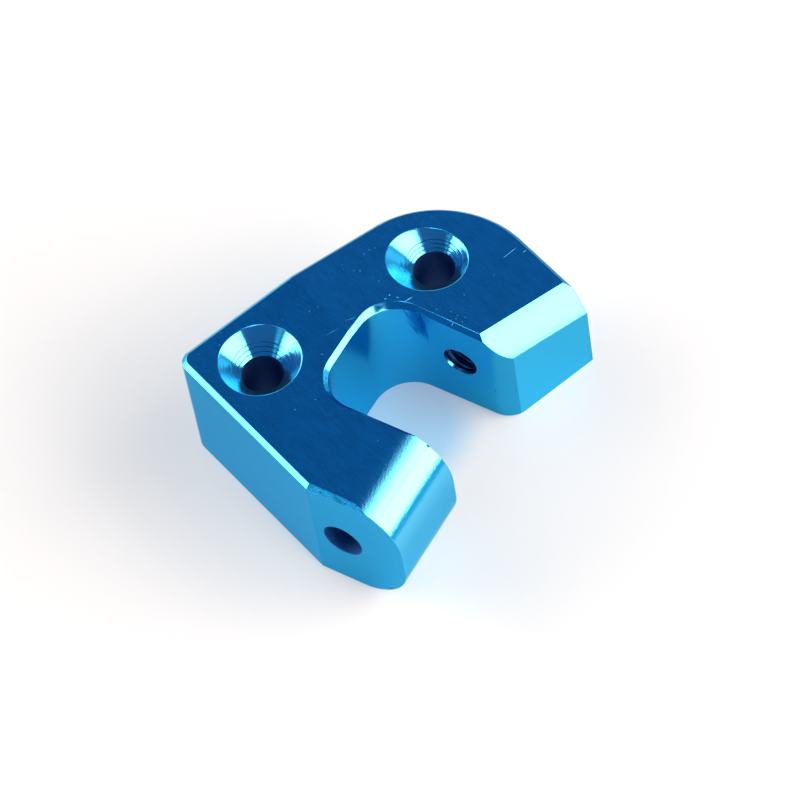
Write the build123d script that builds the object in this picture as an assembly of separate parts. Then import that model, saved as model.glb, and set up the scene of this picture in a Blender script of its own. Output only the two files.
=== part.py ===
from build123d import *
import math
import os

os.makedirs("parts", exist_ok=True)

# A clevis-shaped steering arm bracket, milled from one piece of aluminium and anodised.
# Millimetres. +X runs along the two arms towards their open ends, +Y runs along the hinge line
# from the near arm to the far arm, and +Z is up. The underside is z = 0, and the origin is
# midway between the axes of the two mounting screws.
# The sizes below are measured from the front corner, where the mounting block's near side
# meets the near arm's outer face. In the block, "along" runs with the back edge and "out"
# runs square to it, away from the back edge.

# Mounting block
thickness = 10.6
block_turn = 20.5  # degrees from the arms' direction to the block's sides
block_width = 25.45  # along, from the near side to the far side
back_setback = 14.7  # out, from the back edge to the front corner
back_corner_radius = 1.0
far_corner_radius = 7.3
flat_width = 10.35  # along, the level part of the top, before it slopes down
top_slope = 9.5  # degrees

# Arms and the slot between them
near_arm_width = 7.2
near_arm_reach = 7.3  # along X, from the front corner to the tip
tip_radius = 4.3
slot_width = 9.5
slot_length = 10.85  # along X, from the near arm's tip to the slot's base
slot_near_radius = 2.6  # at the corner beside the near arm
slot_far_radius = 3.0
far_end_setback = 0.1  # out, from the far arm's end face to the front corner
far_end_facing = 0.09  # the last cut across the end face, after the corner was rounded
far_end_corner_radius = 2.0
far_end_bevel = 2.0
far_end_crown = 0.15  # how far the middle of the bevel stands proud of flat

# Edges
top_chamfer = 0.35
bottom_chamfer = 0.1
hole_chamfer = 0.05

# Mounting screws, M3 with countersunk heads
screw_bore = 3.05  # diameter
near_countersink = 6.0  # diameter where the axis meets the top face
far_countersink = 5.8  # the same, on the sloping part
cone_depth = 0.85  # the smooth 90 degree cone
tool_steps = 3  # turned rings below the cone
tool_step_wall = 0.06  # the upright part of each ring
near_screw_inset = 4.25  # from the near side, and from the back edge
far_screw_back_inset = 4.9
far_screw_side_inset = 6.05

# Hinge line, across both arms
hinge_from_tip = 5.0
hinge_height = 5.1
hinge_bore = 3.0  # diameter, through the near arm
thread_bore = 2.5  # diameter at the crests of the M3 thread in the far arm
thread_mouth = 2.7  # diameter where the lead-in meets the slot
thread_lead_in = 0.35  # depth of the tapered lead-in
thread_depth = 8.0
drill_point = 118.0  # degrees

margin = 1.0  # how far a cutter reaches past what it cuts

turn = math.radians(block_turn)
tilt = math.radians(top_slope)
slot_base = near_arm_reach - slot_length
slot_far_wall = near_arm_width + slot_width
hinge_x = near_arm_reach - hinge_from_tip
cut_start = (near_arm_width + slot_width / 2) / math.cos(turn)
cut_length = block_width - cut_start + margin


def block_point(out, along):
    """Turns a place in the block, out and along from the front corner, into x and y."""
    x = out * math.cos(turn) + along * math.sin(turn)
    y = along * math.cos(turn) - out * math.sin(turn)
    return x, y


def top_at(along):
    """The height of the top face at a distance along the block."""
    return thickness - math.tan(tilt) * max(along - flat_width, 0)


near_screw_along = near_screw_inset
near_screw = block_point(near_screw_inset - back_setback, near_screw_along)
far_screw_along = block_width - far_screw_side_inset
far_screw = block_point(far_screw_back_inset - back_setback, far_screw_along)
origin = ((near_screw[0] + far_screw[0]) / 2, (near_screw[1] + far_screw[1]) / 2)


def outline():
    """The plan, as milled before the far arm's end was faced."""
    end_out = far_end_facing - far_end_setback
    inner_end = ((end_out + slot_far_wall * math.sin(turn)) / math.cos(turn), slot_far_wall)
    slot_near = (slot_base, near_arm_width)
    slot_far = (slot_base, slot_far_wall)
    back_near = block_point(-back_setback, 0)
    back_far = block_point(-back_setback, block_width)
    points = [
        (0, 0),
        (near_arm_reach, 0),
        (near_arm_reach, near_arm_width),
        slot_near,
        slot_far,
        inner_end,
        block_point(end_out, block_width),
        back_far,
        back_near,
    ]
    radii = {
        slot_near: slot_near_radius,
        slot_far: slot_far_radius,
        inner_end: far_end_corner_radius,
        back_far: far_corner_radius,
        back_near: back_corner_radius,
    }
    plan = make_face(Polyline(*points, close=True))
    for corner, radius in radii.items():
        vertex = plan.vertices().sort_by_distance((corner[0], corner[1], 0))[0]
        plan = fillet(vertex, radius)
    return plan


def block_under(cut):
    """The plan, extruded up to a cutting plane, with the edges of that top face chamfered."""
    height = thickness + block_width * math.tan(tilt) + margin
    block = split(extrude(outline(), height), bisect_by=cut, keep=Keep.BOTTOM)
    top = block.faces().sort_by(Axis.Z)[-1]
    return chamfer(top.edges(), top_chamfer)


def blank():
    """The block under its level top and under its sloping top, which meet in a sharp crease."""
    x, y = block_point(0, flat_width)
    normal = (*block_point(0, math.sin(tilt)), math.cos(tilt))
    level = Plane(origin=(x, y, thickness), z_dir=(0, 0, 1))
    sloping = Plane(origin=(x, y, thickness), z_dir=normal)
    body = block_under(level) & block_under(sloping)
    bottom = body.faces().sort_by(Axis.Z)[0]
    return chamfer(bottom.edges(), bottom_chamfer)


def tip_cutter():
    """What the near arm's round end leaves away, above and below the tip."""
    height = thickness + 2 * margin
    square = Pos(near_arm_reach, thickness / 2) * Rectangle(2 * tip_radius, height)
    full = Pos(near_arm_reach - 2 * tip_radius, thickness / 2) * Rectangle(4 * tip_radius, thickness)
    edge = full.vertices().group_by(Axis.X)[-1]
    profile = square - fillet(edge, tip_radius)
    reach = near_arm_width + 2 * margin
    return extrude(Plane.XZ.offset(margin) * profile, -reach)


def end_facing():
    """The cut across the far arm's end, which starts level with the middle of the slot."""
    reach = far_end_bevel + margin
    height = thickness + 2 * margin
    x, y = block_point(-far_end_setback, cut_start)
    cut = Box(reach, cut_length, height, align=(Align.MIN, Align.MIN, Align.CENTER))
    return Pos(x, y, thickness / 2) * Rot(0, 0, -block_turn) * cut


def end_bevel():
    """The cut along the sloping top edge of the far arm's end, which leaves a slightly crowned bevel."""
    x, y = block_point(-far_end_setback, cut_start)
    out_x, out_y = block_point(1, 0)
    run = (*block_point(0, math.cos(tilt)), -math.sin(tilt))
    edge = Plane(origin=(x, y, top_at(cut_start)), x_dir=(out_x, out_y, 0), z_dir=run)
    reach = far_end_bevel + margin
    middle = far_end_bevel / 2 - far_end_crown / math.sqrt(2)
    inner = (-far_end_bevel, 0)
    outer = (0, far_end_bevel)
    crown = ThreePointArc(inner, (-middle, middle), outer)
    sides = Polyline(outer, (margin, reach), (margin, -margin), (-reach, -margin), inner)
    return extrude(edge * make_face(crown + sides), cut_length / math.cos(tilt))


def screw_hole(place, top, countersink):
    """The bore and its countersink: a smooth cone, then narrow turned rings down to the bore."""
    bore_r = screw_bore / 2
    cone_end = countersink / 2 - cone_depth
    step = (cone_end - bore_r) / tool_steps
    profile = [(0, top + margin), (countersink / 2 + margin, top + margin), (cone_end, top - cone_depth)]
    for index in range(tool_steps):
        radius, height = profile[-1]
        profile.append((radius, height - tool_step_wall))
        profile.append((radius - step, height - tool_step_wall - step))
    profile += [(bore_r, -margin), (0, -margin)]
    face = make_face(Plane.XZ * Polyline(*profile, close=True))
    return Pos(place[0], place[1], 0) * revolve(face, Axis.Z)


def turned_on_hinge(profile):
    """Turns a profile of (radius, y) about the hinge line."""
    face = make_face(Polyline(*profile, close=True))
    return Pos(hinge_x, 0, hinge_height) * revolve(face, Axis.Y)


def hinge_hole():
    """The plain hole through the near arm, with a small chamfer at each mouth."""
    radius = hinge_bore / 2
    wide = radius + hole_chamfer
    return turned_on_hinge([
        (0, -margin),
        (wide, -margin),
        (wide, 0),
        (radius, hole_chamfer),
        (radius, near_arm_width - hole_chamfer),
        (wide, near_arm_width),
        (wide, near_arm_width + margin),
        (0, near_arm_width + margin),
    ])


def thread_hole():
    """The blind hole in the far arm, at the crests of its thread, with a tapered lead-in."""
    radius = thread_bore / 2
    mouth = thread_mouth / 2
    floor = slot_far_wall + thread_depth
    tip = floor + radius / math.tan(math.radians(drill_point / 2))
    return turned_on_hinge([
        (0, slot_far_wall - margin),
        (mouth, slot_far_wall - margin),
        (mouth, slot_far_wall),
        (radius, slot_far_wall + thread_lead_in),
        (radius, floor),
        (0, tip),
    ])


def steering_arm():
    body = blank() - tip_cutter() - end_facing() - end_bevel()
    body = body - screw_hole(near_screw, top_at(near_screw_along), near_countersink)
    body = body - screw_hole(far_screw, top_at(far_screw_along), far_countersink)
    body = body - hinge_hole() - thread_hole()
    return Pos(-origin[0], -origin[1], 0) * body


arm = steering_arm()
export_step(arm, "parts/steering_arm.step")
spacing = math.dist(near_screw, far_screw)
print(f"volume {arm.volume:.1f} mm3, solids {len(arm.solids())}, screw spacing {spacing:.3f} mm")
box = arm.bounding_box()
print(f"box {box.min} to {box.max}")
print(f"front corner at {-origin[0]:.3f}, {-origin[1]:.3f}; hinge line x {hinge_x - origin[0]:.3f}")
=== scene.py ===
# %% [markdown]
# # A milled and anodised steering arm
# The real part is one piece of aluminium, 27 mm across. It was milled from bar, bored, and then
# anodised a clear bright blue. There is nothing to assemble, so the lesson is about the light on
# it: a mirror-like metal shows its surroundings, and every chamfer, cone and round picks its own
# piece of them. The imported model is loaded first, and nothing here moves or resizes it.

# %% Load the fixed frame
import math

import bmesh
import bpy
import numpy as np
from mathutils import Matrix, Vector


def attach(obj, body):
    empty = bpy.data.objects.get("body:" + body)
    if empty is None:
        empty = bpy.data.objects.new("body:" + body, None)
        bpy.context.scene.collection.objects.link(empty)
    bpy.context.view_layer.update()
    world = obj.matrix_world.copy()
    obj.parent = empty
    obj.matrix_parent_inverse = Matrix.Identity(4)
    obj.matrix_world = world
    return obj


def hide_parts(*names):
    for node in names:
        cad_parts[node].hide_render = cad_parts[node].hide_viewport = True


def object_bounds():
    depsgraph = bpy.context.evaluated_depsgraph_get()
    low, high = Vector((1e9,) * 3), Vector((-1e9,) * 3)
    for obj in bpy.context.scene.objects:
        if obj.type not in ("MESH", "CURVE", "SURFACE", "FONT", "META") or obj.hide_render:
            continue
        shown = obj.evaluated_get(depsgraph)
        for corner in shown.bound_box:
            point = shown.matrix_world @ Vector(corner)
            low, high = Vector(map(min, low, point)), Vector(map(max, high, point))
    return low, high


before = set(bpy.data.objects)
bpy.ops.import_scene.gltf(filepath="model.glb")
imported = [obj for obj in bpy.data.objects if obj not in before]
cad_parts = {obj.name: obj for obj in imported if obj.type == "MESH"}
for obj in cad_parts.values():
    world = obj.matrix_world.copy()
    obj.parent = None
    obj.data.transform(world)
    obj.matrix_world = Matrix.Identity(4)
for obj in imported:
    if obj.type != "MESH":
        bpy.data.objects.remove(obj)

cad_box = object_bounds()
mm = 0.001
scene = bpy.context.scene
scene.view_settings.view_transform = "Standard"
print("CAD box in mm:", [[round(v / mm, 3) for v in corner] for corner in cad_box])

# %% [markdown]
# The photograph was taken with a long lens from well above the part. The camera could be placed
# by eye, but a small error in its height shows at once in the ellipses of the two countersinks.
# So it is described as a photographer would: the point it aims at, its distance, the way it
# looks, and how far it leans to one side.

# %% The camera
aim = np.array([3.261, 0.007, 0.0]) * mm
camera_distance = 361.783 * mm
camera_heading = math.radians(128.612)  # the way it looks, turned from +X towards +Y
camera_pitch = math.radians(56.342)  # how far it looks down
camera_roll = math.radians(10.407)
focal_length = 225.0  # millimetres
sensor_width = 36.0

def linked(name, data):
    """A new object in the scene."""
    made = bpy.data.objects.new(name, data)
    scene.collection.objects.link(made)
    return made

def pose(across, up, back, place):
    """The matrix of an object with these three axes, at a place."""
    matrix = np.eye(4)
    matrix[:3] = np.column_stack([across, up, back, place])
    return matrix.T.tolist()

forward = np.array([
    math.cos(camera_pitch) * math.cos(camera_heading),
    math.cos(camera_pitch) * math.sin(camera_heading),
    -math.sin(camera_pitch),
])
level = np.cross(forward, (0, 0, 1))
level /= np.linalg.norm(level)
upright = np.cross(level, forward)
right = math.cos(camera_roll) * level - math.sin(camera_roll) * upright
up = np.cross(right, forward)

camera_data = bpy.data.cameras.new("camera")
camera_data.lens = focal_length
camera_data.sensor_width = sensor_width
camera_data.clip_start = 0.01
camera_data.clip_end = 20.0
camera = linked("camera", camera_data)
eye = aim - forward * camera_distance
camera.matrix_world = pose(right, up, -forward, eye)
scene.camera = camera
print("camera at, in mm:", np.round(eye / mm, 2))

# %% [markdown]
# Most of what follows is written with nodes, so a few helpers keep it short. The first makes a
# node and fills or links its inputs. The others are the shapes that come back again and
# again: a sum, a stretch of values, a run of colours, and a pattern's own coordinates. A value
# that is constant all over a surface is typed straight into the shader's own socket, because
# that survives an export.

# %% Helpers for materials
def node(tree, kind, inputs=None, **settings):
    """Makes a node, sets its properties, and fills or links its inputs, by name or by number."""
    made = tree.nodes.new(kind)
    for name, value in settings.items():
        setattr(made, name, value)
    for name, value in (inputs or {}).items():
        if isinstance(value, bpy.types.NodeSocket):
            tree.links.new(value, made.inputs[name])
        else:
            made.inputs[name].default_value = value
    return made

def math_node(tree, operation, a, b=0.0):
    """One arithmetic step. Returns the result's socket."""
    return node(tree, "ShaderNodeMath", {0: a, 1: b}, operation=operation).outputs[0]

def stretch(tree, value, low, high):
    """Zero at low, one at high, and even between them."""
    inputs = {"Value": value, "From Min": low, "From Max": high}
    return node(tree, "ShaderNodeMapRange", inputs).outputs[0]

def colour_run(tree, share, start, end, first=0.0, last=1.0, easing="LINEAR"):
    """A colour that runs from start to end while the share goes from first to last."""
    made = node(tree, "ShaderNodeValToRGB", {"Fac": share})
    made.color_ramp.interpolation = easing
    stops = made.color_ramp.elements
    stops[0].position, stops[0].color = first, start
    stops[1].position, stops[1].color = last, end
    return made.outputs["Color"]

def seen_from(tree, place, size, turn=0.0, tilt=0.0):
    """Coordinates that start at a place, are turned and tilted, and have size as each axis's unit."""
    coords = node(tree, "ShaderNodeTexCoord")
    return node(tree, "ShaderNodeMapping", {
        "Vector": coords.outputs["Object"],
        "Location": place,
        "Rotation": (0.0, tilt, turn),
        "Scale": size,
    }, vector_type="TEXTURE").outputs[0]

def nearness(tree, place, size, tilt=0.0):
    """One at the place, and less round it, to zero at the distance that size gives for each axis."""
    inputs = {"Vector": seen_from(tree, place, size, tilt=tilt)}
    return node(tree, "ShaderNodeTexGradient", inputs, gradient_type="SPHERICAL").outputs["Fac"]

def empty_material(name):
    """A material with nothing in it but its output node."""
    material = bpy.data.materials.new(name)
    material.use_nodes = True
    material.node_tree.nodes.clear()
    return material, material.node_tree, node(material.node_tree, "ShaderNodeOutputMaterial")

# %% [markdown]
# Everything round the part is flat: the floor, the soft boxes and one card. One helper makes them
# all. It takes the corners in turn, counterclockwise as seen from the side that is lit.

# %% A flat sheet
def flat_sheet(name, corners, material):
    """An object of one face, with a material on it."""
    mesh = bpy.data.meshes.new(name)
    mesh.from_pydata(corners, [], [tuple(range(len(corners)))])
    mesh.materials.append(material)
    return linked(name, mesh)

# %% [markdown]
# The part stands on a white sheet, which sends light up onto the walls. For rays that come from
# the camera or from a mirror, a share of pure white is mixed in, so the open sheet reads as white
# paper while the part's soft shadow stays on it. The slot's walls throw some of their blue on the
# sheet. Such light is slow to render, so the sheet itself turns blue there, in one soft spot.

# %% The floor
floor_size = 3.0  # metres
floor_white = (0.94, 0.82, 0.73, 1.0)  # warm, because the light that reaches it is cool
floor_lift = 0.25  # the share of pure white
floor_spill = (0.24, 0.56, 0.72, 1.0)
spill_place, spill_size = (0.0040, -0.0020, 0.0), (0.0070, 0.0070, 1.0)
spill_core = 0.5  # the nearness to the spot's middle at which its blue is full

sheet, tree, output = empty_material("white_sheet")
rays = node(tree, "ShaderNodeLightPath")
seen = math_node(tree, "ADD", rays.outputs["Is Camera Ray"], rays.outputs["Is Glossy Ray"])
seen = math_node(tree, "ADD", seen, rays.outputs["Is Transmission Ray"])
share = math_node(tree, "MULTIPLY", seen, floor_lift)
spill = nearness(tree, spill_place, spill_size)
tint = colour_run(tree, spill, floor_white, floor_spill, last=spill_core, easing="EASE")
paper = node(tree, "ShaderNodeBsdfDiffuse", {"Color": tint})
glow = node(tree, "ShaderNodeEmission", {"Strength": 1.0})
mix = node(tree, "ShaderNodeMixShader", {0: share, 1: paper.outputs[0], 2: glow.outputs[0]})
tree.links.new(mix.outputs[0], output.inputs["Surface"])

half = floor_size / 2
floor = flat_sheet("floor", [(-half, -half, 0), (half, -half, 0), (half, half, 0), (-half, half, 0)], sheet)
print("floor:", floor_size, "metres across")

# %% [markdown]
# Twelve soft boxes light the part. Two broad ones stand low on either side and do most of the
# work. Each of the others is there for a few cones, chamfers or rounds. Which face is bright in
# the photograph says where each box stands, because a flat face mirrors a single direction. A
# real soft box is brightest in the middle, where its lamp is, so its glow is worked out from the
# distance to its centre. Area lamps have an even face, which would give flat white chamfers.

# %% The soft boxes
box_distance = 0.5  # metres
glow_width = 0.6  # how far the glow reaches to either side of its middle, in widths of the box
glow_core = 0.65  # the nearness to its middle at which the glow is full
neutral = (1.0, 1.0, 1.0, 1.0)
warm = (1.0, 0.93, 0.87, 1.0)
cool = (0.60, 0.85, 1.0, 1.0)
blue = (0.25, 0.85, 1.0, 1.0)

def soft_box(name, azimuth, elevation, width, height, edge, centre, glow_height=0.0, glow_spread=0.5,
             colour=neutral):
    """A glowing rectangle that faces the part, from the given angles in degrees.

    The glow falls off from a spot on its face: from centre, in the middle, to edge.
    """
    a, e = math.radians(azimuth), math.radians(elevation)
    towards = np.array([math.cos(e) * math.cos(a), math.cos(e) * math.sin(a), math.sin(e)])
    side = np.array([-math.sin(a), math.cos(a), 0.0])

    cloth, tree, output = empty_material(name + "_cloth")
    reach = (glow_width * width, glow_spread * height, 1.0)
    strength = node(tree, "ShaderNodeMapRange", {
        "Value": nearness(tree, (0, glow_height, 0), reach),
        "From Max": glow_core,
        "To Min": edge,
        "To Max": centre,
    }, interpolation_type="SMOOTHSTEP")
    light = node(tree, "ShaderNodeEmission", {"Color": colour, "Strength": strength.outputs[0]})
    tree.links.new(light.outputs[0], output.inputs["Surface"])

    corners = [(x * width / 2, y * height / 2, 0) for x, y in ((-1, 1), (1, 1), (1, -1), (-1, -1))]
    box = flat_sheet(name, corners, cloth)
    box.matrix_world = pose(side, np.cross(towards, side), towards, towards * box_distance)
    box.visible_camera = False
    print("soft box:", name)

# azimuth, elevation, width, height, and the glow at the edge and at the centre
soft_box("right_low", 14, 23.5, 0.56, 0.36, 3.8, 6.9, glow_height=0.06, glow_spread=1.1)
soft_box("right_high", 42, 46.4, 0.30, 0.33, 0.7, 6.6, glow_height=-0.155, glow_spread=0.95)
soft_box("right_mid", 24, 43, 0.10, 0.07, 7.0, 7.0)
soft_box("right_dim", 60, 9, 0.28, 0.16, 0.8, 1.4, colour=blue)
soft_box("left_low", -142, 15, 0.24, 0.14, 3.6, 7.2)
soft_box("left_wide", -166, 22, 0.76, 0.38, 3.0, 4.6, colour=warm)
soft_box("left_front", -113, 24, 0.10, 0.11, 0.6, 1.2, colour=blue)
soft_box("left_high", -140, 62, 0.16, 0.14, 0.9, 1.8, colour=cool)
soft_box("front_low", -70, 6, 0.60, 0.10, 0.6, 1.2)
soft_box("back_low", 140, 10, 0.60, 0.17, 0.8, 1.6)
soft_box("back_high", 180, 38, 0.36, 0.20, 2.0, 4.0)
soft_box("overhead", -60, 87, 0.15, 0.15, 1.0, 6.0, colour=cool)

# %% [markdown]
# Under its brightest band, the tip's round mirrors the place where the sheet ends and the table
# begins. On a real table that is just there. Here a bluish card lies flat in that place, seen
# only in mirrors, so it shades nothing and lights nothing.

# %% The card
card_start, card_stop, card_width = 0.042, 0.9, 1.2  # metres, out from the part and across
card_height = 0.0004
card_turn = math.radians(26)
card_colour = (0.12, 0.66, 0.84, 1.0)

ahead = np.array([math.cos(card_turn), math.sin(card_turn), 0.0])
aside = np.array([-ahead[1], ahead[0], 0.0])
card_edges = ((card_start, -0.5), (card_stop, -0.5), (card_stop, 0.5), (card_start, 0.5))
card_corners = [ahead * reach + aside * card_width * side + (0, 0, card_height) for reach, side in card_edges]

card_paper, tree, output = empty_material("bluish_card")
light = node(tree, "ShaderNodeEmission", {"Color": card_colour, "Strength": 1.0})
tree.links.new(light.outputs[0], output.inputs["Surface"])
card = flat_sheet("card", [corner.tolist() for corner in card_corners], card_paper)
card.visible_camera = card.visible_diffuse = card.visible_shadow = False
print("card from", card_start, "to", card_stop, "metres out")

# %% [markdown]
# Where no box stands, the metal mirrors the room. The level top looks up into its dark half, and
# nothing else makes it so deep a blue. Lower down the room is lighter, or the far sides would be
# black. So the room is two colours, and the height of a direction says how much of each.

# %% The surroundings
room_low, room_high = (0.15, 0.70, 0.95, 1), (0.04, 0.15, 0.34, 1)
room_turns = 0.10, 0.22  # the heights between which one turns to the other, of one straight up

world = bpy.data.worlds.new("studio")
scene.world = world
world.use_nodes = True
tree = world.node_tree
tree.nodes.clear()
direction = node(tree, "ShaderNodeTexCoord")
height = node(tree, "ShaderNodeSeparateXYZ", {"Vector": direction.outputs["Generated"]})
room = colour_run(tree, height.outputs["Z"], room_low, room_high, *room_turns)
sky = node(tree, "ShaderNodeBackground", {"Color": room, "Strength": 1.0})
out = node(tree, "ShaderNodeOutputWorld")
tree.links.new(sky.outputs[0], out.inputs["Surface"])
print("room:", room_low[:3], "below and", room_high[:3], "above")

# %% [markdown]
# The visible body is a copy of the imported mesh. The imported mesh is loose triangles, so the copy's
# doubles are merged and its flat faces joined again. Where a curve is made of narrow facets, the
# light must run smoothly over it. Where two faces really meet, the edge has to stay sharp.

# %% The body's surface
node_name = "steering_arm"
merge_distance = 0.02 * mm
hair = 0.01 * mm  # how near counts as lying on a line, a circle or a face
runs_along = 0.1  # a face runs along an axis where its normal has less of that axis than this
flat_angle = math.radians(0.4)
front_corner = np.array([5.343, -14.622, 0.0]) * mm  # where the block meets the near arm
block_turn = math.radians(20.5)
along_block = np.array([math.sin(block_turn), math.cos(block_turn), 0.0])
out_of_block = np.array([math.cos(block_turn), -math.sin(block_turn), 0.0])
crease_at = 10.35 * mm  # along the block, from the front corner
near_screw = np.array([-2.957, -6.981, 0.0]) * mm
far_screw = np.array([2.957, 6.981, 0.0]) * mm
hinge = np.array([7.643, 0.0, 5.1]) * mm  # the hinge line runs along Y

def values(items, name, width=1, kind=float):
    """One value for each item of a mesh, or one row of values."""
    flat = np.empty(len(items) * width, dtype=kind)
    items.foreach_get(name, flat)
    return flat.reshape(-1, width) if width > 1 else flat

def corner_array(mesh):
    """The places of the mesh's corners."""
    return values(mesh.vertices, "co", 3)

def face_places(mesh):
    """The centre and the normal of each face."""
    return values(mesh.polygons, "center", 3), values(mesh.polygons, "normal", 3)

def joined_copy(source, name):
    """A copy of a node's mesh with shared corners, and one face for each flat area."""
    work = bmesh.new()
    work.from_mesh(source.data)
    bmesh.ops.remove_doubles(work, verts=work.verts, dist=merge_distance)
    bmesh.ops.dissolve_limit(work, angle_limit=flat_angle, verts=work.verts, edges=work.edges)
    mesh = bpy.data.meshes.new(name)
    work.to_mesh(mesh)
    work.free()
    return mesh

def edge_angles(mesh):
    """The angle between the two faces at each edge, worked out from their normals."""
    normals = values(mesh.polygons, "normal", 3)
    counts = values(mesh.polygons, "loop_total", kind=int)
    owner = np.repeat(np.arange(len(counts)), counts)
    order = np.argsort(values(mesh.loops, "edge_index", kind=int), kind="stable")
    pairs = owner[order].reshape(-1, 2)
    dots = np.sum(normals[pairs[:, 0]] * normals[pairs[:, 1]], axis=1)
    return np.arccos(np.clip(dots, -1, 1))

def edge_ends(mesh):
    """The two corners of each edge, as two arrays of places."""
    ends = values(mesh.edges, "vertices", 2, int)
    corners = corner_array(mesh)
    return corners[ends[:, 0]], corners[ends[:, 1]]

def block_along(places):
    """How far along the block each place is, from the front corner."""
    return (places - front_corner) @ along_block

def flat_reach(places, middle):
    """How far each place is from an upright line through the middle, such as a screw's axis."""
    return np.linalg.norm((places - middle)[:, :2], axis=1)

def hinge_reach(places):
    """How far each place is from the hinge line."""
    return np.linalg.norm((places - hinge)[:, [0, 2]], axis=1)

body_mesh = joined_copy(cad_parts[node_name], "arm_body")
print("packed surface:", len(body_mesh.vertices), "corners,", len(body_mesh.polygons), "faces")

# %% [markdown]
# Three times below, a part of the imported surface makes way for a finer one. A boolean would leave
# slivers along the cut. Here the old faces are deleted, and the new ones start from the very
# corners that this leaves, so the two fit without a seam.

# %% A new surface in place of some faces
def with_patch(mesh, chosen, corners, faces):
    """Takes the chosen faces out of the mesh, and joins a new surface to the edges that they leave.

    Where a flat gap stays open round the new surface, it is filled.
    """
    patch = bpy.data.meshes.new("patch")
    patch.from_pydata(corners.tolist(), [], faces.tolist())
    work = bmesh.new()
    work.from_mesh(mesh)
    work.faces.ensure_lookup_table()
    old = [work.faces[index] for index in np.flatnonzero(chosen)]
    bmesh.ops.delete(work, geom=old, context="FACES")
    work.from_mesh(patch)
    bmesh.ops.remove_doubles(work, verts=work.verts, dist=merge_distance)
    gap = [edge for edge in work.edges if len(edge.link_faces) == 1]
    if gap:
        filled = bmesh.ops.triangle_fill(work, use_beauty=True, edges=gap)["geom"]
        seams = [item for item in filled if isinstance(item, bmesh.types.BMEdge)]
        bmesh.ops.dissolve_limit(work, angle_limit=flat_angle, verts=[], edges=seams)
    bmesh.ops.recalc_face_normals(work, faces=work.faces)
    open_edges = sum(1 for edge in work.edges if len(edge.link_faces) != 2)
    work.to_mesh(mesh)
    work.free()
    bpy.data.meshes.remove(patch)
    print("new surface:", len(faces), "faces in place of", int(chosen.sum()), "-", open_edges, "open edges")

# %% [markdown]
# The far countersink meets the sloping top in an oval, so its packed facets run askew, and a round
# on its rim would fold over them. The smooth cone is laid again between the same two loops. With
# both loops sorted by angle, each next corner closes a triangle with the last one of either loop.

# %% The far countersink's cone
cone_foot = 2.05 * mm  # the radius where the cone ends and the rings begin
cone_reach = 3.6 * mm  # a radius beyond the rims of both cones
cone_low = 6 * mm  # a height below the cone
facing_up = 0.95  # a face belongs to the top where its normal has more Z than this
top_fall = math.tan(math.radians(9.5))  # how steeply the far half of the top slopes

def top_level(places):
    """How high the top face is over each place: level as far as the crease, and falling beyond it."""
    return cad_box[1][2] - top_fall * np.maximum(block_along(places) - crease_at, 0)

def angle_round(points, screw):
    """The angle of each point about a screw's axis."""
    return np.arctan2(points[:, 1] - screw[1], points[:, 0] - screw[0])

def joined_loops(upper, lower, screw):
    """The corners and triangles of the strip between two loops round one axis."""
    upper = upper[np.argsort(angle_round(upper, screw))]
    lower = lower[np.argsort(angle_round(lower, screw))]
    corners = np.concatenate([upper, lower])
    order = np.argsort(angle_round(corners, screw))
    from_upper = order < len(upper)
    next_corner = np.where(from_upper, np.cumsum(from_upper) - 1, len(upper) + np.cumsum(~from_upper) - 1)
    last_upper = (np.cumsum(from_upper) - from_upper - 1) % len(upper)
    last_lower = len(upper) + (np.cumsum(~from_upper) - ~from_upper - 1) % len(lower)
    return corners, np.stack([last_upper, last_lower, next_corner], axis=1)

def corners_of(mesh, chosen):
    """The places of the corners that the chosen faces have."""
    in_chosen = np.repeat(chosen, values(mesh.polygons, "loop_total", kind=int))
    members = values(mesh.loops, "vertex_index", kind=int)
    return corner_array(mesh)[np.unique(members[in_chosen])]

centres, normals = face_places(body_mesh)
reach = flat_reach(centres, far_screw)
cone = (reach > cone_foot + hair / 2) & (reach < cone_reach) & (centres[:, 2] > cone_low)
cone &= (top_level(centres) - centres[:, 2] > hair / 5) | (normals[:, 2] < facing_up)
on_cone = corners_of(body_mesh, cone)
rim = on_cone[np.abs(on_cone[:, 2] - top_level(on_cone)) < hair]
foot = on_cone[flat_reach(on_cone, far_screw) <= cone_foot + merge_distance]
strip, triangles = joined_loops(rim, foot, far_screw)
print("far cone:", len(rim), "corners on the rim,", len(foot), "at the foot")
with_patch(body_mesh, cone, strip, triangles)

# %% [markdown]
# The flat top round that rim is one large face, and the lines that divide it run off the oval at
# a slant, which would spoil the round too. A narrow collar with lines that point to the axis
# goes in between. It lies in the same plane, so it doesn't show.

# %% A collar round the far countersink
collar_width = 0.25 * mm
same_plane = 0.9999  # two faces lie in one plane where their normals' product is more than this
slope_normal = np.array([*(top_fall * along_block[:2]), 1.0])
slope_normal /= np.linalg.norm(slope_normal)

outward = (rim - far_screw) * (1, 1, 0)
outward /= np.linalg.norm(outward, axis=1)[:, None]
collar = rim + collar_width * outward
collar[:, 2] = top_level(collar)
strip, triangles = joined_loops(collar, rim, far_screw)
centres, normals = face_places(body_mesh)
with_patch(body_mesh, normals @ slope_normal > same_plane, strip, triangles)

# %% [markdown]
# No facet of a curve turns by more than 17 degrees, so the angle tells a real edge from a facet.
# Two places need their own rule. The crease across the top is shallower than that, and so is the
# short edge where the two chamfers meet at the front corner.

# %% The sharp edges
sharp_angle = math.radians(18.0)
corner_angle = math.radians(10.0)
crease_angle = math.radians(1.0)
corner_reach = 0.6 * mm

def on_crease(places):
    """Whether each place is on the crease or straight below it."""
    return np.abs(block_along(places) - crease_at) < hair

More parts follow.
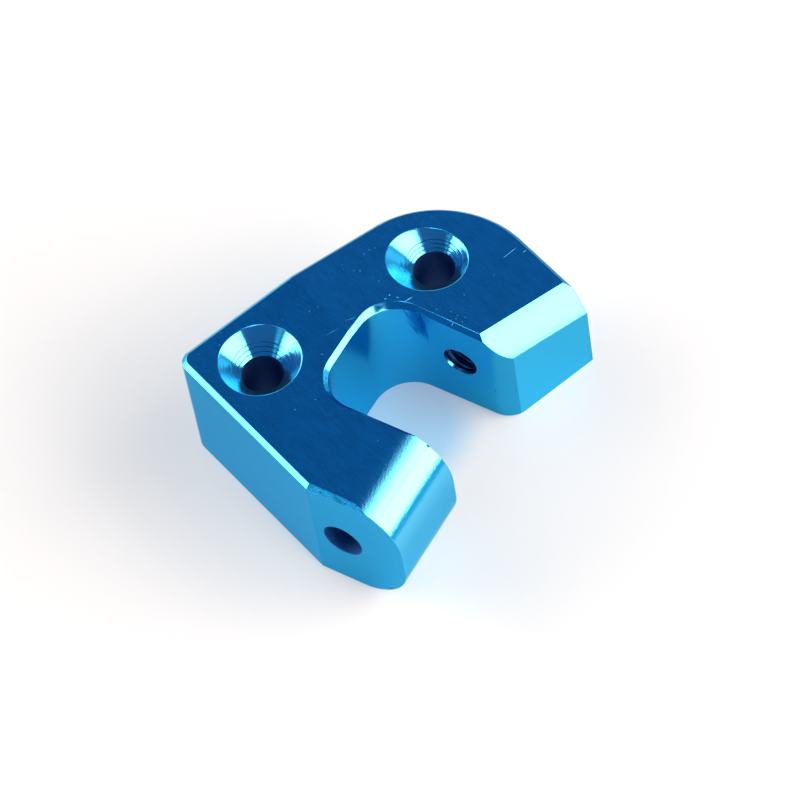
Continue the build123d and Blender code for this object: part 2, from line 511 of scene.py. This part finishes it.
start, end = edge_ends(body_mesh)
angles = edge_angles(body_mesh)
at_corner = np.maximum(flat_reach(start, front_corner), flat_reach(end, front_corner)) < corner_reach
sharp = (angles > sharp_angle) | (at_corner & (angles > corner_angle))
sharp |= on_crease(start) & on_crease(end) & (angles > crease_angle)
body_mesh.edges.foreach_set("use_edge_sharp", sharp)
print(int(sharp.sum()), "sharp edges of", len(sharp))

# %% [markdown]
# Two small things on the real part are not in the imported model, and both are only a few
# hundredths of a millimetre. The cutter that broke the slot's far corner did not follow its
# round, so the bright chamfer is wider there. And the rings in the countersinks have steeper
# steps. It is enough to move the corners that are already there: outwards in the plane of the
# top, and down along the screw's axis.

# %% Move the corners of the slot's edge and of the rings
slot_corner = np.array([4.793, -0.922]) * mm  # the middle of the corner's round
packed_reach = 3.35 * mm  # from there to the chamfer's outer edge
cut_reach = 2.90 * mm  # the smaller round that the cutter really left
step_depth = 0.03 * mm
upper_half = 5 * mm  # what is cut from above is higher than this
ring_radii = np.array([2.15, 1.942, 1.733]) * mm
far_ring_radii = np.array([2.05, 1.875, 1.70]) * mm  # on the far hole

def widened_corner(corners):
    """Moves the chamfer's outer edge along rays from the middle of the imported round.

    The new edge is two straight lines joined by a round of cut_reach. With d the offset of that
    round's middle, a ray in the direction u meets it at u.d + sqrt((u.d)^2 - d.d + reach^2).
    """
    flat = corners[:, :2] - slot_corner
    reach = np.linalg.norm(flat, axis=1)
    chosen = (np.abs(reach - packed_reach) < 2 * hair) & (flat[:, 0] < 0) & (flat[:, 1] > 0)
    chosen &= corners[:, 2] > upper_half
    ray = flat[chosen] / reach[chosen, None]
    offset = (packed_reach - cut_reach) * np.array([-1.0, 1.0])
    on_ray = ray @ offset
    arc = on_ray + np.sqrt(on_ray ** 2 - offset @ offset + cut_reach ** 2)
    straight = packed_reach / np.abs(ray).max(axis=1)
    past = packed_reach * np.abs(ray).min(axis=1) / np.abs(ray).max(axis=1)
    new_reach = np.where(past < packed_reach - cut_reach, straight, arc)
    shift = ray * (new_reach - reach[chosen])[:, None]
    moved = corners.copy()
    moved[chosen, :2] += shift
    moved[chosen, 2] -= top_fall * (shift @ along_block[:2])
    return moved, int(chosen.sum())

def deeper_steps(corners, screw, radii):
    """Lowers each circle by step_depth for every upright step that is passed on the way down to it.

    An upright has two circles at its radius, and only the lower one counts its own step.
    """
    reach = flat_reach(corners, screw)
    inside = (reach < radii[0] + 2 * hair) & (corners[:, 2] > upper_half)
    passed = np.zeros(len(corners))
    for radius in radii:
        at = inside & (np.abs(reach - radius) < 2 * hair)
        passed[at & (corners[:, 2] < corners[at, 2].mean())] += 1
        passed[inside & (reach < radius - 2 * hair)] += 1
    moved = corners.copy()
    moved[:, 2] -= step_depth * passed
    return moved, int((passed > 0).sum())

corners = corner_array(body_mesh)
corners, widened = widened_corner(corners)
corners, near_feet = deeper_steps(corners, near_screw, ring_radii)
corners, far_feet = deeper_steps(corners, far_screw, far_ring_radii)
body_mesh.vertices.foreach_set("co", corners.ravel())
body_mesh.update()
print("moved:", widened, "on the slot's corner,", near_feet, "and", far_feet, "in the rings")

# %% [markdown]
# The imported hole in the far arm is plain, at the width of the thread's crests. Threads are often
# faked with a bump, but the first turn catches the light here, so it is cut for real. A Screw
# modifier or a helical cutter would do it, yet the plain wall can also just be swapped. A
# thread's wall is one function: its radius at an angle and a depth. The angle only shifts where
# the groove starts, and one whole turn shifts it by one pitch.

# %% The thread
pitch = 0.5 * mm
crest_radius = 1.25 * mm
groove_depth = 0.27 * mm
groove_half, flank = 0.375, 0.3125  # half the groove at the crests, and one flank, in pitches
fade_in, fade_out = 0.4, 1.5  # turns
thread_start = 2.428 * mm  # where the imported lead-in ends
thread_stop = 10.078 * mm
rows_per_turn = 14
point_reach = 1.1 * mm  # facets nearer to the axis than this belong to the drill's point

def thread_surface(angles):
    """The threaded wall: a grid of corners with a row for each depth y and a column for each angle.

    The place in the pitch is t = (y - start) / pitch - angle / one turn. The groove is a flat
    root an eighth of the pitch wide and two 60 degree flanks, so its depth is
    clip((groove_half - |t - 0.5|) / flank, 0, 1), and it fades in and out at the two ends.
    """
    rows = int(round((thread_stop - thread_start) / pitch * rows_per_turn)) + 1
    y = np.linspace(thread_start, thread_stop, rows)[:, None]
    turns = (y - thread_start) / pitch
    place = (turns - angles[None, :] / (2 * math.pi)) % 1.0
    groove = np.clip((groove_half - np.abs(place - 0.5)) / flank, 0, 1)
    fade = np.clip(turns / fade_in, 0, 1) * np.clip((turns[-1] - turns) / fade_out, 0, 1)
    radius = crest_radius + groove_depth * groove * fade
    x = hinge[0] + radius * np.sin(angles)
    z = hinge[2] + radius * np.cos(angles)
    return np.stack([x, np.broadcast_to(y, x.shape), z], axis=2)

def grid_faces(rows, columns):
    """The four-sided faces of a grid whose last column joins its first."""
    row, column = np.meshgrid(np.arange(rows - 1), np.arange(columns), indexing="ij")
    after = (column + 1) % columns
    quads = np.stack([row * columns + column, row * columns + after,
                      (row + 1) * columns + after, (row + 1) * columns + column], axis=2)
    return quads.reshape(-1, 4)

corners = corner_array(body_mesh)
first = (np.abs(hinge_reach(corners) - crest_radius) < hair) & (np.abs(corners[:, 1] - thread_start) < hair)
turned = np.sort(np.arctan2(corners[first, 0] - hinge[0], corners[first, 2] - hinge[2]))
surface = thread_surface(turned)
centres, normals = face_places(body_mesh)
reach = hinge_reach(centres)
plain_wall = (reach > point_reach) & (reach < crest_radius + hair) & (np.abs(normals[:, 1]) < runs_along)
plain_wall &= (centres[:, 1] > thread_start) & (centres[:, 1] < thread_stop)
print("thread:", surface.shape[0], "rows of", surface.shape[1], "corners")
with_patch(body_mesh, plain_wall, surface.reshape(-1, 3), grid_faces(*surface.shape[:2]))

# %% [markdown]
# Tumbling before anodising takes the knife edge off every corner. A corner that is rounded by a
# twentieth of a millimetre shows as a hair-thin line, because its round mirrors a whole fan of
# directions and some of them are lit. The Bevel modifier makes it, and each edge gets a weight.

# %% The rounded edges
edge_round = 0.08 * mm  # on the rims of the countersinks
edge_weight = 0.6  # the share of that round on the other edges
fine_weight = 0.12  # the share on the small edges in and round the holes
foot_weight = 0.12  # the share on the small chamfer round the underside
bore_weight = 0.35  # the share where the rings meet the bore
cone_radius = 2.75 * mm  # these three are a little more than the radius of what they name
screw_radius = 1.56 * mm
hinge_radius = 1.7 * mm
foot_height = 0.2 * mm
tip_foot = 2.5 * mm  # over which the round fades in above the underside, round the tip
tip_edges = np.array([6.343, -7.0]) * mm  # they have a greater x and a smaller y than this
bevel_edge_out = -2.1 * mm  # the bevel's upper edge, which the cutter left crisp
bevel_side, bevel_low = 3 * mm, 7 * mm  # it has a greater y and z than these

start, end = edge_ends(body_mesh)
middle = (start + end) / 2
height = middle[:, 2]
screw_reach = np.minimum(flat_reach(middle, near_screw), flat_reach(middle, far_screw))
sharp = values(body_mesh.edges, "use_edge_sharp", kind=bool)
weights = np.where(sharp, edge_weight, 0.0)
weights[sharp & ((screw_reach < cone_radius) | (hinge_reach(middle) < hinge_radius))] = fine_weight
weights[sharp & (screw_reach < cone_reach) & (top_level(middle) - height < hair)] = 1.0
weights[sharp & (screw_reach < screw_radius) & (height > upper_half)] = bore_weight
weights[sharp & (height < foot_height)] = foot_weight
on_tip = (middle[:, 0] > tip_edges[0]) & (middle[:, 1] < tip_edges[1])
fading = foot_weight + (edge_weight - foot_weight) * np.clip((height - foot_height) / tip_foot, 0, 1)
weights = np.where(sharp & on_tip, np.minimum(weights, fading), weights)
weights[on_crease(middle) & (height > cad_box[1][2] - 5 * hair)] = 0.0
on_bevel_edge = np.abs((middle - front_corner) @ out_of_block - bevel_edge_out) < 5 * hair
weights[on_bevel_edge & (middle[:, 1] > bevel_side) & (height > bevel_low)] = 0.0
layer = body_mesh.attributes.new("bevel_weight_edge", "FLOAT", "EDGE")
layer.data.foreach_set("value", weights)
body_mesh.polygons.foreach_set("use_smooth", np.ones(len(body_mesh.polygons), dtype=bool))

body = linked("arm_body", body_mesh)
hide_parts(node_name)
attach(body, "root")
rounds = body.modifiers.new("edge_round", "BEVEL")
rounds.width = edge_round
rounds.segments = 3
rounds.limit_method = "WEIGHT"
rounds.harden_normals = True
rounds.use_clamp_overlap = False
rounds.loop_slide = False
smooth = body.modifiers.new("face_normals", "WEIGHTED_NORMAL")
smooth.mode = "FACE_AREA"
smooth.weight = 100
smooth.keep_sharp = True
print("rounded edges:", int((weights > 0).sum()), "of", len(weights))

# %% [markdown]
# Anodising is a clear, dyed oxide on bare metal. The metal's own mirror gives the blue, so the
# shader is a metal with a blue base. Pure blue would be wrong: a strong lamp comes back almost
# white from the real part, so the base keeps a little red. Each cut has its own bump: a flat one
# is mottled, a turned one has rings, and a milled one has fine lines. So the finish is one
# function, and the cut's height is handed to it. The blue is handed to it as well. From face to
# face it differs mostly as painted light and shade: lighter or darker copies of one blue.

# %% The anodised finish
def grain(tree, size, turn=0.0, tilt=0.0):
    """Coordinates in which one unit is one grain. size is in mm: one number, or one for each axis."""
    sides = size if isinstance(size, tuple) else (size, size, size)
    return seen_from(tree, (0, 0, 0), [side * mm for side in sides], turn, tilt)

def noise(tree, where, detail=2.0, roughness=0.5):
    """Soft random values round one half, one bump to each grain."""
    made = node(tree, "ShaderNodeTexNoise", {
        "Vector": where, "Scale": 1.0, "Detail": detail, "Roughness": roughness,
    })
    return made.outputs["Fac"]

def weighed(tree, *parts):
    """The sum of some values, each times its own weight."""
    total = 0.0
    for value, weight in parts:
        total = math_node(tree, "ADD", math_node(tree, "MULTIPLY", value, weight), total)
    return total

# Most blues below are copies of wall_blue, made lighter or darker for the light their faces catch: painted
# light and shade.
wall_blue = (0.050, 0.45, 0.80, 1.0)
# painted shade: front_blue is a darker copy, for the near arm's outer face
front_blue = (0.047, 0.39, 0.71, 1.0)
slot_blue = (0.042, 0.49, 0.78, 1.0)  # light bounces twice in the slot and loses its red
far_blue = (0.030, 0.36, 0.63, 1.0)  # the slot's far wall, next to the tapped hole, darker as painted shade
# painted light: end_blue is a lighter copy, for the end faces
end_blue = (0.058, 0.53, 0.85, 1.0)
# painted highlight: tip_blue is a lighter, redder copy, for the tip's round
tip_blue = (0.112, 0.57, 0.89, 1.0)
# painted light and shade: top_blue is a little darker, for the level top, and slope_blue lighter, for the
# sloping half
top_blue = (0.036, 0.39, 0.68, 1.0)
slope_blue = (0.055, 0.46, 0.76, 1.0)
lamp_blue = (0.094, 0.46, 0.72, 1.0)  # a lit copy of the blue, redder, for the cuts that mirror the lamps, so their highlights come out nearly white: painted light
chamfer_blue = (0.055, 0.45, 0.76, 1.0)
# painted shade, in part: the holes' blues are darker for the shade deep in a hole, and partly for the thinner
# dye in a bore
bore_blue = (0.11, 0.20, 0.46, 1.0)
cross_blue = (0.045, 0.16, 0.42, 1.0)
thread_blue = (0.05, 0.14, 0.30, 1.0)
shade_blue = (0.015, 0.21, 0.42, 1.0)  # painted shade: a darker copy, for the chamfers on the far sides, which look away into the shade
glancing_blue = (0.45, 0.70, 0.85, 1.0)  # how the mirror's colour holds at a low angle

far_wall_turns = (2 * mm, 6 * mm)  # the X between which the slot's blue turns to the far wall's darker one, a painted shade
streak_place = np.array([4.50, 2.0, 8.1]) * mm  # the middle of the darker upright streaks on the slot's round
streak_size = np.array([1.05, 1.0, 2.6]) * mm
streak_lean = math.radians(-16)
streak_colour = (0.30, 0.42, 0.62, 1.0)

def patchy_colour(tree, base, amount):
    """The base colour, lighter and darker by the given share in streaks, clouds and specks."""
    streaks = noise(tree, grain(tree, (0.9, 0.16, 0.9), turn=-block_turn), detail=4.0)
    clouds = noise(tree, grain(tree, (1.6, 0.9, 1.6), turn=-block_turn), detail=3.0)
    specks = noise(tree, grain(tree, 0.12))
    patches = weighed(tree, (streaks, 0.35), (clouds, 0.35), (specks, 0.30))
    darker = [value * (1 - amount) for value in base[:3]] + [1.0]
    lighter = [value * (1 + amount) for value in base[:3]] + [1.0]
    return colour_run(tree, stretch(tree, patches, 0.35, 0.65), darker, lighter)

def slot_colour(tree, base):
    """The base colour, which turns along X to the far wall's darker blue, a painted shade, and darker upright
    streaks on its round.

    How dark a streak is comes from the nearness to streak_place plus noise that is long in Z.
    """
    coords = node(tree, "ShaderNodeTexCoord")
    place = node(tree, "ShaderNodeSeparateXYZ", {"Vector": coords.outputs["Object"]})
    wall = colour_run(tree, stretch(tree, place.outputs["X"], *far_wall_turns), base, far_blue)
    near = nearness(tree, streak_place, streak_size, tilt=streak_lean)
    streaks = noise(tree, grain(tree, (0.16, 0.16, 2.4), tilt=streak_lean), detail=3.0)
    dark = stretch(tree, weighed(tree, (near, 1.0), (streaks, 1.1)), 0.80, 1.02)
    shade = colour_run(tree, dark, (1.0, 1.0, 1.0, 1.0), streak_colour)
    return node(tree, "ShaderNodeVectorMath", {0: wall, 1: shade}, operation="MULTIPLY").outputs[0]

def anodised(name, height, depth, roughness, base, patchy=0.0, in_slot=False, metallic=1.0):
    """The dyed oxide over one kind of cut. height makes the bump, and depth is its size in mm."""
    material, tree, output = empty_material(name)
    bump = node(tree, "ShaderNodeBump", {"Height": height(tree), "Distance": depth * mm, "Strength": 1.0})
    metal = node(tree, "ShaderNodeBsdfPrincipled", {
        "Base Color": base, "Metallic": metallic, "Roughness": roughness, "Normal": bump.outputs[0],
        "Specular Tint": glancing_blue,
    })
    if patchy:
        tree.links.new(patchy_colour(tree, base, patchy), metal.inputs["Base Color"])
    if in_slot:
        tree.links.new(slot_colour(tree, base), metal.inputs["Base Color"])
    tree.links.new(metal.outputs[0], output.inputs["Surface"])
    return material

# %% [markdown]
# The side walls were cut by the side of an end mill, which leaves faint upright lines. On the top
# the cutter ran square to the back edge, so its lines run that way, under a soft mottle.

# %% The flat cuts
def wall_height(tree):
    """Upright lines, long in Z, with a fine even grain over them."""
    lines = noise(tree, grain(tree, (0.12, 0.12, 6.0)))
    return weighed(tree, (lines, 0.5), (noise(tree, grain(tree, 0.06)), 0.5))

def top_height(tree):
    """Short lines square to the back edge, over a mottle about a third of a millimetre across."""
    lines = noise(tree, grain(tree, (1.2, 0.10, 1.0), turn=-block_turn))
    return weighed(tree, (lines, 0.5), (noise(tree, grain(tree, 0.30), detail=4.0), 1.0))

def tip_height(tree):
    """Fine crumbs, a little drawn out across the arm, where the cutter stepped round the tip."""
    return noise(tree, grain(tree, (0.14, 0.20, 0.14)), detail=3.0, roughness=0.6)

def bevel_height(tree):
    """Fine lines that run lengthwise along the bevel."""
    return noise(tree, grain(tree, (0.14, 4.0, 0.14), turn=-block_turn), detail=3.0)

def chamfer_height(tree):
    """The chatter of a small cutter: soft waves a quarter of a millimetre long."""
    return noise(tree, grain(tree, 0.25))

# %% [markdown]
# The countersinks were turned with a chattering cutter, so no two of its rings have quite the
# same slope. That is what gives the lamps' reflections their ragged sides. A ring is a place at
# the same distance from the screw's axis, so the height is noise read along that distance alone.

# %% The turned cuts
ring_width = 0.16 * mm

def ring_height(tree):
    """Noise along the distance to the nearer screw's axis, with a little wander round the ring."""
    coords = node(tree, "ShaderNodeTexCoord")
    plan = {0: coords.outputs["Object"], 1: (1, 1, 0)}
    level = node(tree, "ShaderNodeVectorMath", plan, operation="MULTIPLY").outputs[0]
    away = [node(tree, "ShaderNodeVectorMath", {0: level, 1: screw}, operation="DISTANCE").outputs["Value"]
            for screw in (near_screw, far_screw)]
    rings = math_node(tree, "DIVIDE", math_node(tree, "MINIMUM", *away), ring_width)
    place = weighed(tree, (rings, 1.0), (noise(tree, grain(tree, 0.8)), 1.2))
    return node(tree, "ShaderNodeTexNoise", {
        "W": place, "Scale": 1.0, "Detail": 3.0, "Roughness": 0.6,
    }, noise_dimensions="1D").outputs["Fac"]

def bore_height(tree):
    """A coarse torn surface, as a drill leaves it."""
    return noise(tree, grain(tree, 0.10), detail=3.0)

# %% [markdown]
# Each kind of cut becomes one finish: its height, its depth in millimetres, its roughness, and
# a blue, which is a lighter or darker copy as bright as the real face looks: painted light and
# shade. Four of them are chamfers. One mirrors the lamps, one was chipped by a dull cutter, one
# looks away into the shade, and one is for all the rest.

# %% The materials
names = []

def finish(name, height, depth, roughness, base=wall_blue, **more):
    """Makes a finish and gives it the body's next slot."""
    body_mesh.materials.append(anodised(name, height, depth, roughness, base, **more))
    names.append(name)

finish("milled_walls", wall_height, 0.004, 0.16)
finish("milled_front", wall_height, 0.004, 0.16, front_blue)
finish("milled_slot", wall_height, 0.010, 0.16, slot_blue, in_slot=True)
finish("milled_ends", wall_height, 0.004, 0.16, end_blue)
finish("milled_top", top_height, 0.012, 0.22, top_blue, patchy=0.16)
finish("milled_slope", top_height, 0.012, 0.22, slope_blue, patchy=0.16)
finish("milled_tip", tip_height, 0.009, 0.08, tip_blue)
finish("milled_bevel", bevel_height, 0.006, 0.18, lamp_blue)
finish("milled_chamfer", chamfer_height, 0.004, 0.16, chamfer_blue)
finish("lit_chamfer", chamfer_height, 0.004, 0.16, lamp_blue)
finish("chipped_chamfer", bore_height, 0.006, 0.18, chamfer_blue, patchy=0.5)
finish("shaded_chamfer", chamfer_height, 0.004, 0.20, shade_blue)
finish("turned_cone", ring_height, 0.007, 0.12, lamp_blue, metallic=0.94)
finish("drilled_bore", bore_height, 0.010, 0.5, bore_blue)
finish("cross_bore", bore_height, 0.010, 0.8, cross_blue, metallic=0.95)
finish("cut_thread", bore_height, 0.003, 0.35, thread_blue)
print("finishes:", len(names))

# %% [markdown]
# Which face gets which finish follows from where the face is and which way it looks. Both come
# straight from the mesh, so the sorting still works if the model behind it changes a little. A
# later rule wins over an earlier one.

# %% Sort the faces by how they were cut
tip_start = front_corner[0] / mm + 3.0  # in this cell places are in mm. The tip's round begins here
tip_side = -7.3  # the near arm has a smaller y, and the slot a larger one
slot_base, slot_near, slot_far = 1.5, -7.5, 2.2  # just outside the slot: its x, and the y of its sides
outer_side = -14.0  # just inside the near arm's outer face
far_arm, far_arm_end = 2.0, 11.0  # the y of the far arm, round the hinge line
cone_rim, bore_rim, hinge_rim = 3.1, 1.53, 1.6  # just past the screws' cones, their bores, the hinge's
head_on = 0.99  # a flat face looks along an axis where its normal has more of that axis than this

centres, normals = face_places(body_mesh)
x, y, z = centres.T / mm
nx, ny, nz = normals.T
ends = normals @ out_of_block > 0.999
to_screw = np.minimum(flat_reach(centres, near_screw), flat_reach(centres, far_screw)) / mm
to_hinge = hinge_reach(centres) / mm
bevel_normal = (out_of_block + (0, 0, 1)) / math.sqrt(2)
kind = np.zeros(len(centres), dtype=int)  # each face starts as a milled wall

def give(name, chosen, only=None):
    """Gives the chosen faces a finish, or only those of them that have another one so far."""
    if only:
        chosen = chosen & (kind == names.index(only))
    kind[chosen] = names.index(name)

upright = np.abs(nz) < 0.05
in_slot = (x > slot_base) & (y > slot_near) & (y < slot_far)
give("milled_slot", upright & in_slot & ((nx < head_on) | (x < slot_base + 0.5)))
give("milled_slot", upright & (y > slot_far) & (ny < -0.37) & ~ends)
give("milled_ends", upright & ends & (y > far_arm))
give("milled_tip", upright & (nx > head_on) & (y < tip_side))
give("milled_front", upright & (ny < -head_on) & (y < outer_side))
give("milled_top", nz > facing_up)
give("milled_slope", normals @ slope_normal > same_plane)
give("turned_cone", (to_screw < cone_rim) & (nz < facing_up))
give("drilled_bore", (to_screw < bore_rim) & (np.abs(nz) < runs_along))
give("cross_bore", (to_hinge < hinge_rim) & (y < 0) & (np.abs(ny) < 0.9))
in_far_arm = (y > far_arm) & (y < far_arm_end)
give("drilled_bore", in_far_arm & (to_hinge < 1.2) & (y > 9))
give("cut_thread", in_far_arm & (to_hinge < hinge_rim) & (np.abs(ny) < 0.95))
on_tip = (x > tip_start) & (y < tip_side) & (np.abs(ny) < runs_along) & (to_hinge > hinge_rim)
give("milled_tip", on_tip & (np.abs(nz) > 0.02) & (nz < 0.96))
sloped = (nz > 0.5) & (nz < 0.9) & (to_screw > cone_rim + 0.1) & (to_hinge > hinge_rim)
give("milled_chamfer", sloped & (z > 4.0) & ~on_tip)
lit = (nx > 0.45) & (x > 1.3) & (x < 5.0) & (y > slot_near)
give("lit_chamfer", lit, only="milled_chamfer")
outer = (ny < -0.6) & (np.abs(nx) < runs_along) & (y < outer_side)
give("chipped_chamfer", outer, only="milled_chamfer")
away = (ny > 0.3) | ((ny > 0.1) & (nx > 0.3))
give("shaded_chamfer", away, only="milled_chamfer")
give("milled_bevel", (normals @ bevel_normal > 0.97) & (y > 0))
body_mesh.polygons.foreach_set("material_index", kind)
print({name: int((kind == index).sum()) for index, name in enumerate(names)})

# %% [markdown]
# A part this small shows every touch. The real one has two fresh scratches behind the far screw, a
# scatter of bright grit on the top, a burr where the cutter turned the slot's corner, and a few
# dents along the edges. In the material they would be tied to its patterns. As small bodies, half
# sunk in the surface, they catch the light by themselves. One shape does for all of them: a
# spindle, which is pointed at both ends, and nearly round where it is as short as it is wide.

# %% A spindle
spindle_rows, spindle_columns = 7, 8

def spindle(middle, line, outward, width, height):
    """A closed body along a line. Returns its corners.

    At a share t of its length it is an ellipse. Its half axes are width / 2, across the line, and
    height, outward, both times sqrt(4 t (1 - t)). The rows are closer together near the ends.
    """
    middle, line, outward = (np.asarray(given, dtype=float) for given in (middle, line, outward))
    outward = outward / np.linalg.norm(outward)
    line = line - (line @ outward) * outward
    across = np.cross(outward, line)
    across /= np.linalg.norm(across)
    t = (1 - np.cos(np.linspace(0, math.pi, spindle_rows + 2)[1:-1])) / 2
    turn = np.arange(spindle_columns) * 2 * math.pi / spindle_columns
    ring = width / 2 * np.cos(turn)[:, None] * across + height * np.sin(turn)[:, None] * outward
    rows = middle + (t[:, None, None] - 0.5) * line + np.sqrt(4 * t * (1 - t))[:, None, None] * ring
    return np.concatenate([rows.reshape(-1, 3), [middle - line / 2, middle + line / 2]])

def spindle_faces(first):
    """The faces of a spindle whose corners are numbered from first: a tube, and a fan at each end."""
    tube = grid_faces(spindle_rows, spindle_columns)
    column = np.arange(spindle_columns)
    after = (column + 1) % spindle_columns
    start = np.full(spindle_columns, spindle_rows * spindle_columns)
    last = (spindle_rows - 1) * spindle_columns
    fans = np.concatenate([np.stack([start, after, column], axis=1),
                           np.stack([start + 1, last + column, last + after], axis=1)])
    return (tube + first).tolist() + (fans + first).tolist()

def marks(name, material, rows):
    """One piece of many spindles.

    Each row is a middle, a line, an outward direction, a width and a height, in mm.
    """
    corners, faces = [], []
    for middle, line, outward, width, height in rows:
        faces += spindle_faces(sum(map(len, corners)))
        corners.append(spindle(np.array(middle) * mm, np.array(line) * mm, outward, width * mm, height * mm))
    mesh = bpy.data.meshes.new(name)
    mesh.from_pydata(np.concatenate(corners).tolist(), [], faces)
    mesh.polygons.foreach_set("use_smooth", np.ones(len(faces), dtype=bool))
    mesh.materials.append(material)
    piece = linked(name, mesh)
    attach(piece, "root")
    print(name, "has", len(rows), "marks")
    return piece

# %% [markdown]
# A scratch or a grain of grit is torn metal, pale and dull. So its finish isn't a mirror: it is
# half metal and rough, and it shows the lamps from any side. A dent is the reverse, dark and
# rough, because what it mirrors is mostly itself.

# %% Finishes of the marks
def torn(name, base, metal, roughness):
    """A rough finish with a fine crumbly bump."""
    material, tree, output = empty_material(name)
    crumbs = noise(tree, grain(tree, 0.03))
    bump = node(tree, "ShaderNodeBump", {"Height": crumbs, "Distance": 0.004 * mm, "Strength": 1.0})
    shader = node(tree, "ShaderNodeBsdfPrincipled", {
        "Base Color": base, "Metallic": metal, "Roughness": roughness, "Normal": bump.outputs[0],
    })
    tree.links.new(shader.outputs[0], output.inputs["Surface"])
    return material

bright_metal = torn("torn_metal", (0.07, 0.38, 0.56, 1.0), 0.4, 0.42)
dark_metal = torn("dented_metal", (0.012, 0.07, 0.16, 1.0), 0.6, 0.5)

# %% [markdown]
# The scratches and the brightest grains lie where the photograph has them. The faint ones are
# thrown at random over the top, clear of the holes and the slot. The seed is fixed, so every run
# throws them to the same places.

# %% The marks on the top
flat = (0.0, 0.0, 1.0)
grit_size = 0.062  # in this cell, sizes and places are in mm
loose_grit = 46  # grains too faint to place one by one
loose_sizes = (0.35, 0.6)  # shares of grit_size
loose_out, loose_along = (-14.0, -3.0), (0.8, 24.0)  # the part of the block that they are thrown at
bevel_back = -4.0  # the bevel is further out than this
slot_back, slot_side = 0.9, 3.0  # the slot has a larger x and a smaller y
screw_clear = 3.6
far_round = (-7.4, 18.15)  # the middle of the far corner's round, out and along
far_round_reach = 6.8  # how far the top face goes from there

def on_top(x, y, run_x, run_y, width, height):
    """The row of a mark that lies on the top face over x and y."""
    place = np.array([x, y, 0.0]) * mm
    outward = flat if block_along(place) < crease_at else slope_normal
    return (x, y, top_level(place) / mm), (run_x, run_y, 0), outward, width, height

rows = [on_top(*place, *run, width, 0.25 * width) for place, run, width in (
    ((7.54, 10.10), (0.34, 1.41), 0.042),
    ((8.36, 10.74), (0.12, 0.32), 0.055),
    ((0.48, -2.62), (0.61, 1.07), 0.024),
    ((1.03, -1.06), (0.47, 0.71), 0.024),
    ((3.58, 2.60), (0.26, 0.66), 0.075),
    ((0.77, -4.61), (0.16, 0.10), 0.050),
)]
grains = [
    (7.62, 7.69), (-1.25, 4.63), (-1.14, 5.13), (-0.87, 5.51), (-1.04, 2.89), (-0.68, 3.11), (0.95, 3.00),
    (6.74, 5.00), (6.71, 3.17), (7.30, 3.09), (7.35, 2.79), (7.84, 3.24), (7.89, 2.77), (7.11, 2.51),
    (5.76, 2.83), (2.28, -8.11), (1.42, -9.48), (-1.87, -1.84), (-1.51, -1.26), (-6.61, -6.24),
    (-6.19, -7.15), (7.95, -9.13),
]
sizes = [grit_size] * len(grains)
wanted = len(grains) + loose_grit
random = np.random.default_rng(11)
while len(grains) < wanted:
    out, along = random.uniform(*loose_out), random.uniform(*loose_along)
    place = front_corner / mm + out * out_of_block + along * along_block
    clear = min(np.linalg.norm(place - screw / mm) for screw in (near_screw, far_screw)) > screw_clear
    clear &= out < bevel_back and (place[0] < slot_back or place[1] > slot_side)
    past_round = out < far_round[0] and along > far_round[1]
    clear &= not past_round or math.hypot(out - far_round[0], along - far_round[1]) < far_round_reach
    if clear:
        grains.append((place[0], place[1]))
        sizes.append(random.uniform(*loose_sizes) * grit_size)
rows += [on_top(*place, size, 0.3 * size, size, 0.4 * size) for place, size in zip(grains, sizes)]
marks("top_marks", bright_metal, rows)

# %% [markdown]
# The edges wear in two ways. Where a cutter or another part caught one, it stands up in a bright
# burr, or is bared in a nick. Where one was pressed in, it is a dark dent.

# %% The burrs, the nicks and the dents
marks("edge_burrs", bright_metal, [
    ((2.16, 1.81, 9.945), (0.10, 0.16, 0), slope_normal, 0.07, 0.03),
    ((2.23, 2.25, 9.875), (0.06, 0.16, 0), slope_normal, 0.07, 0.03),
    ((2.84, 2.36, 9.820), (0.18, 0.05, 0), slope_normal, 0.08, 0.03),
    ((2.14, -6.65, 10.56), (0.05, 0.10, 0), (0.5, 0.5, 0.7), 0.10, 0.03),
    ((7.34, 2.28, 9.42), (0.04, 0.22, 0.19), (0.04, -0.65, 0.76), 0.045, 0.02),
    ((11.80, -9.13, 8.85), (-0.30, 0.05, 0.38), (0.78, 0.0, 0.62), 0.06, 0.012),
    ((11.88, -12.66, 8.74), (-0.26, 0.05, 0.40), (0.84, 0.0, 0.55), 0.06, 0.012),
    ((12.63, -7.86, 4.18), (0.0, 0.10, 0.20), (1.0, 0.2, 0.0), 0.08, 0.02),
    ((0.70, 8.58, 8.95), (0.14, 0.10, 0), (0.2, -0.2, 0.95), 0.08, 0.03),
    ((10.36, 2.08, 2.20), (0.0, 0.0, 0.16), (0, -1, 0), 0.05, 0.010),
    ((10.28, 2.08, 1.30), (0.0, 0.0, 0.12), (0, -1, 0), 0.05, 0.010),
    ((10.22, 2.08, 0.54), (0.0, 0.0, 0.12), (0, -1, 0), 0.05, 0.010),
])
marks("edge_dents", dark_metal, [
    ((1.97, -6.11, 10.40), (0.16, -0.10, 0.0), (0.6, 0.37, 0.7), 0.12, 0.02),
    ((1.72, -1.26, 10.17), (-0.10, 0.02, 0.10), (0.73, 0.11, 0.68), 0.08, 0.02),
    ((10.97, -7.50, 9.70), (0.24, 0.02, -0.17), (0.5, 0.5, 0.7), 0.16, 0.03),
    ((11.08, -14.62, 1.18), (0.44, 0.0, 0.10), (0, -1, 0), 0.12, 0.020),
    ((11.65, 2.72, 3.26), (0.0, 0.0, 0.22), (0.75, -0.66, 0), 0.06, 0.010),
    ((10.34, 2.08, 3.10), (0.0, 0.0, 0.30), (0, -1, 0), 0.05, 0.008),
    ((6.40, -14.46, 10.42), (0.30, 0.0, 0.0), (0, -0.7, 0.7), 0.10, 0.02),
    ((8.42, -14.50, 10.37), (0.24, 0.0, 0.0), (0, -0.7, 0.7), 0.12, 0.02),
])
